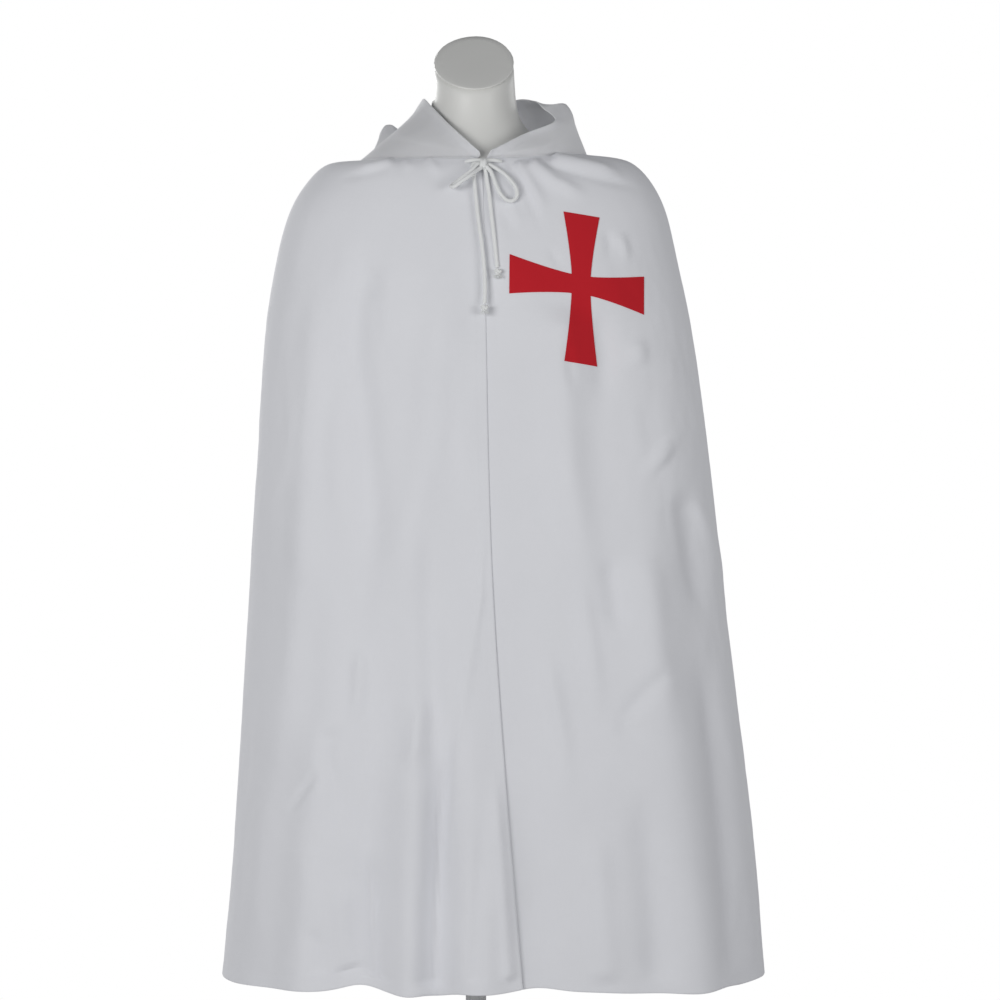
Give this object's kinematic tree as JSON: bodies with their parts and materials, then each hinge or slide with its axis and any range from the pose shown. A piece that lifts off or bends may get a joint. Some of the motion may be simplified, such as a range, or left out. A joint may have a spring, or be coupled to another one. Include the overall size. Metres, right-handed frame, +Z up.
{
  "type": "hooded mantle on a dress form",
  "caption": "Long hooded sleeveless mantle in plain white cloth with a flared red cross on the chest and a cord tie, worn open-hemmed on a limbless dress form with a pole and a round base.",
  "frame": {"origin": "middle of the underside of the round base plate, on the floor", "axes": "+Z up along the pole, the garment's front faces -Y, +X towards the wearer's left"},
  "size_m": [0.744, 0.5136, 1.5359],
  "materials": {
    "white_cloth": "plain white woven cotton blend, matt with a faint sheen",
    "red_cloth": "plain red woven cotton, matt",
    "tie_cord": "round braided white cotton cord, matt",
    "form_shell": "smooth glossy off-white moulded plastic",
    "stand_paint": "white powder coat"
  },
  "bodies": {
    "root": {"back": "white_cloth", "front_right": "white_cloth", "front_left": "white_cloth", "hood_right": "white_cloth", "hood_left": "white_cloth", "cross": "red_cloth", "tie_knot": "tie_cord", "tie_loop_right": "tie_cord", "tie_loop_left": "tie_cord", "tie_end_long": "tie_cord", "tie_end_short": "tie_cord", "stopper_long": "tie_cord", "stopper_short": "tie_cord", "form_torso": "form_shell", "form_cap": "form_shell", "pole": "stand_paint", "pole_collar": "stand_paint", "base_plate": "stand_paint"}
  },
  "joints": []
}
